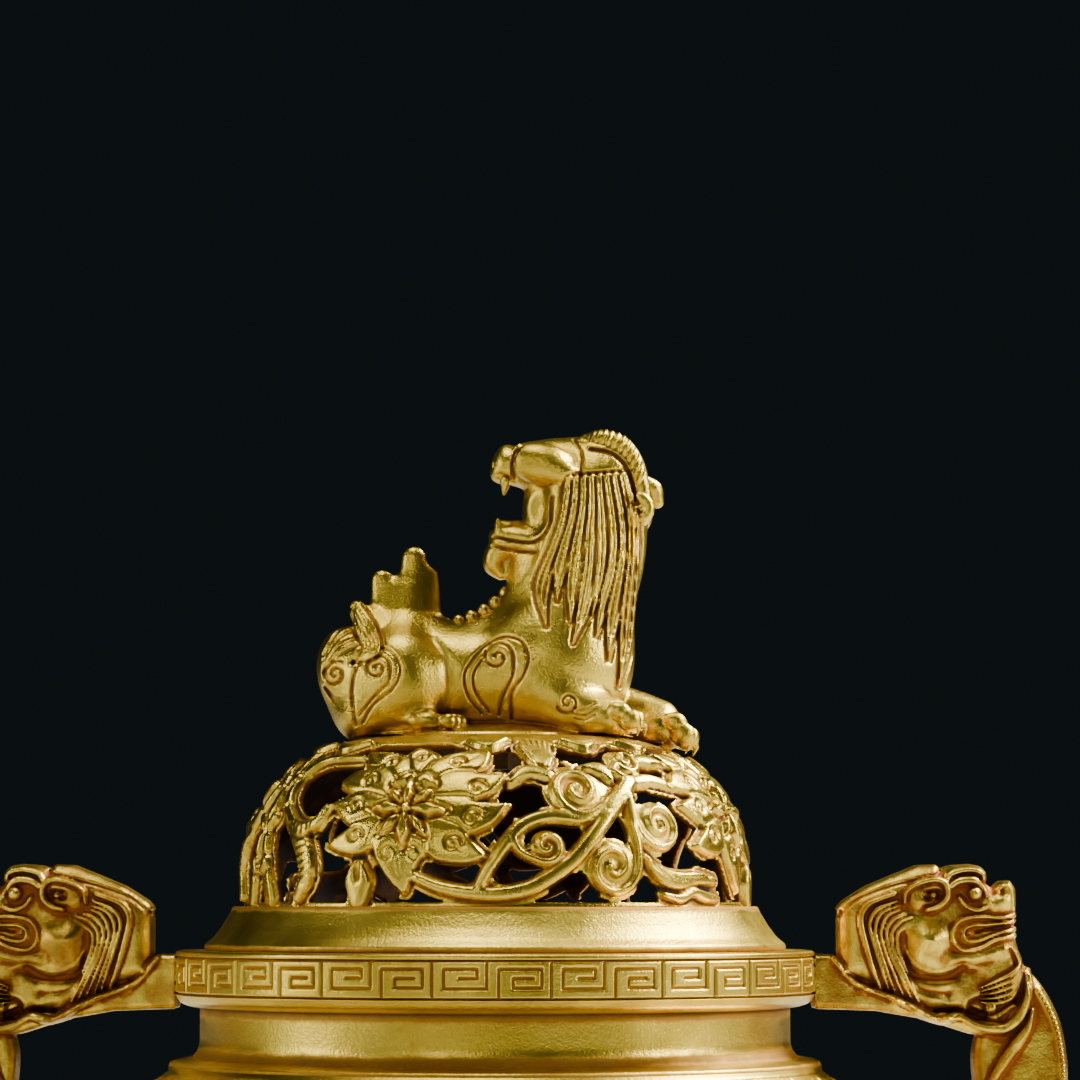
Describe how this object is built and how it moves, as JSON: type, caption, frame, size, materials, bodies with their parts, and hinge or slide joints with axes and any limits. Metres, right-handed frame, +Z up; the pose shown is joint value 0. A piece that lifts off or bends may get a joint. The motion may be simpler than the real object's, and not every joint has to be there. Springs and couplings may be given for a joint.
{
  "type": "standing incense burner",
  "caption": "Gilt bronze tripod incense burner with beast-head handles, key-fret rim and openwork lift-off lid with a lion finial.",
  "frame": {"origin": "on the table under the middle of the bowl", "axes": "+Z up, +X through the right handle, -Y towards the viewer and the single front leg"},
  "size_m": [0.1966, 0.146, 0.1956],
  "materials": {
    "vessel_gilt": "satin gilding, red-brown in the recesses",
    "handle_gilt": "satin gilding, red-brown and grey in the recesses",
    "leg_gilt": "satin gilding",
    "lid_gilt": "satin gilding with soot in the openwork",
    "finial_gilt": "satin gilding, silvery where rubbed",
    "liner_copper": "heat-darkened copper",
    "fixing_brass": "dull turned brass"
  },
  "bodies": {
    "vessel": {"vessel_bowl": "vessel_gilt", "neck_ring": "vessel_gilt", "mouth_rim": "vessel_gilt", "handle_right": "handle_gilt", "handle_left": "handle_gilt", "rim_pins_right": "fixing_brass", "rim_pins_left": "fixing_brass", "handle_foot_rivets": "fixing_brass", "leg_front": "leg_gilt", "leg_back_right": "leg_gilt", "leg_back_left": "leg_gilt", "leg_screws": "fixing_brass"},
    "lid": {"lid_skirt": "lid_gilt", "lid_locating_ring": "lid_gilt", "lid_dome": "lid_gilt", "finial_lion": "finial_gilt", "finial_screw": "fixing_brass", "finial_washer": "fixing_brass"},
    "liner": {"ash_liner": "liner_copper"}
  },
  "joints": [
    {"name": "lid_lift", "type": "slide", "parent": "vessel", "child": "lid", "axis": [0, 0, 1], "range_m": [0, 0.16]},
    {"name": "liner_lift", "type": "slide", "parent": "vessel", "child": "liner", "axis": [0, 0, 1], "range_m": [0, 0.08]}
  ],
  "couplings": [
    {"joint": "liner_lift", "follows": "lid_lift", "ratio": 0.5}
  ]
}
